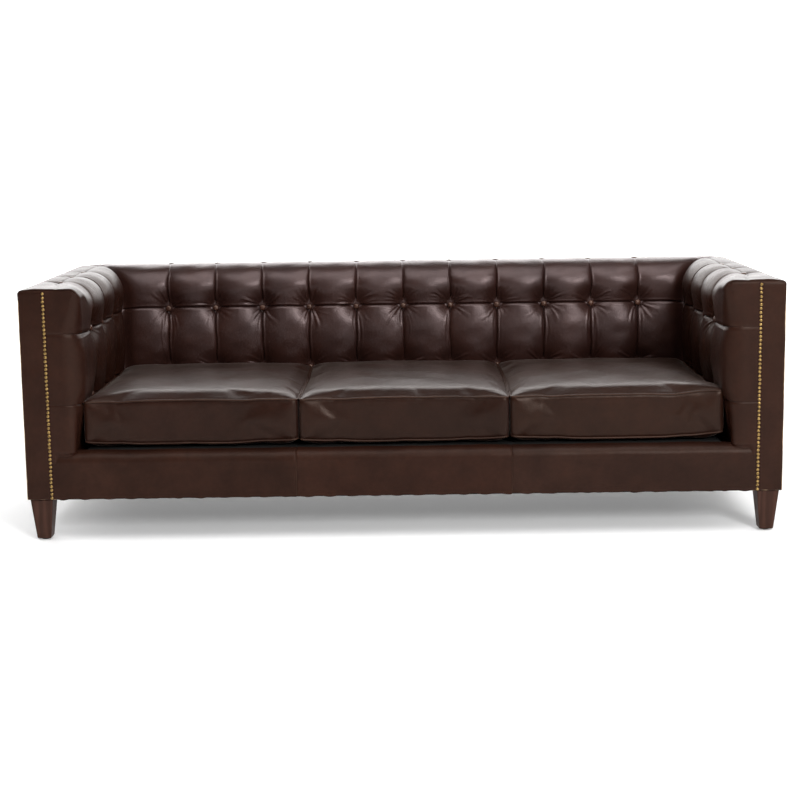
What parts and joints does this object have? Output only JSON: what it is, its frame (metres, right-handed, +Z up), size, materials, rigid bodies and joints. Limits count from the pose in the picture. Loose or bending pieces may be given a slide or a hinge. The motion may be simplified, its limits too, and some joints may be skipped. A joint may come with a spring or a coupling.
{
  "type": "chesterfield sofa",
  "caption": "Three-seat square-arm chesterfield sofa in dark brown tufted leather, with loose box cushions, brass nail trim and tapered wooden legs.",
  "frame": {"origin": "on the floor, under the middle of the bounding box", "axes": "+X along the seat to the right as seen from the front, -Y out of the front, +Z up"},
  "size_m": [2.24, 0.88, 0.752],
  "materials": {
    "brown_leather": "satin",
    "antique_brass": "satin",
    "dark_leg_wood": "satin",
    "black_plastic": "matte",
    "zinc_steel": "satin",
    "spring_steel": "satin",
    "foam": "matte",
    "felt_pad": "matte",
    "black_cloth": "matte",
    "jute_webbing": "matte",
    "twine": "matte",
    "zip_tape": "matte",
    "fibre_board": "matte",
    "plywood": "matte",
    "frame_hardwood": "matte"
  },
  "bodies": {
    "sofa_frame": {"arm_buttons": "brown_leather", "arm_foam_left": "foam", "arm_foam_right": "foam", "arm_front_leather_left": "brown_leather", "arm_front_leather_right": "brown_leather", "arm_front_post_left": "plywood", "arm_front_post_right": "plywood", "arm_leather_inside_left": "brown_leather", "arm_leather_inside_right": "brown_leather", "arm_leather_outside_left": "brown_leather", "arm_leather_outside_right": "brown_leather", "arm_nails_left": "antique_brass", "arm_nails_right": "antique_brass", "arm_ribs": "plywood", "arm_tack_rails": "frame_hardwood", "arm_top_rails": "plywood", "back_buttons": "brown_leather", "back_foam": "foam", "back_leather_inside": "brown_leather", "back_leather_outside": "brown_leather", "back_ribs": "plywood", "back_tack_rail": "frame_hardwood", "back_top_rail": "plywood", "backing_boards": "fibre_board", "button_ties": "twine", "deck_cover": "black_cloth", "deck_pad": "felt_pad", "dust_cover": "black_cloth", "frame_screws": "zinc_steel", "front_rail": "frame_hardwood", "front_rail_leather": "brown_leather", "front_rail_padding": "foam", "leg_blocks": "frame_hardwood", "leg_bolts": "zinc_steel", "leg_front_left": "dark_leg_wood", "leg_front_right": "dark_leg_wood", "leg_glides": "black_plastic", "leg_rear_left": "dark_leg_wood", "leg_rear_right": "dark_leg_wood", "leg_tee_nuts": "zinc_steel", "rear_rail": "frame_hardwood", "seat_springs": "spring_steel", "seat_stretchers": "frame_hardwood", "side_rail_left": "frame_hardwood", "side_rail_right": "frame_hardwood", "spring_clips": "zinc_steel", "spring_rail": "frame_hardwood", "webbing": "jute_webbing"},
    "cushion_left": {"seat_cushion_cover_left": "brown_leather", "seat_cushion_core_left": "foam", "cushion_zip_left": "zip_tape"},
    "zip_left": {"zip_slider_left": "antique_brass"},
    "cushion_center": {"seat_cushion_cover_center": "brown_leather", "seat_cushion_core_center": "foam", "cushion_zip_center": "zip_tape"},
    "zip_center": {"zip_slider_center": "antique_brass"},
    "cushion_right": {"seat_cushion_cover_right": "brown_leather", "seat_cushion_core_right": "foam", "cushion_zip_right": "zip_tape"},
    "zip_right": {"zip_slider_right": "antique_brass"}
  },
  "joints": [
    {"name": "cushion_left_lift", "type": "slide", "parent": "sofa_frame", "child": "cushion_left", "axis": [0, 0, 1], "range_m": [0, 0.3]},
    {"name": "cushion_center_lift", "type": "slide", "parent": "sofa_frame", "child": "cushion_center", "axis": [0, 0, 1], "range_m": [0, 0.3]},
    {"name": "cushion_right_lift", "type": "slide", "parent": "sofa_frame", "child": "cushion_right", "axis": [0, 0, 1], "range_m": [0, 0.3]},
    {"name": "zip_left_run", "type": "slide", "parent": "cushion_left", "child": "zip_left", "axis": [1, 0, 0], "range_m": [0, 0.436]},
    {"name": "zip_center_run", "type": "slide", "parent": "cushion_center", "child": "zip_center", "axis": [1, 0, 0], "range_m": [0, 0.436]},
    {"name": "zip_right_run", "type": "slide", "parent": "cushion_right", "child": "zip_right", "axis": [1, 0, 0], "range_m": [0, 0.436]}
  ]
}
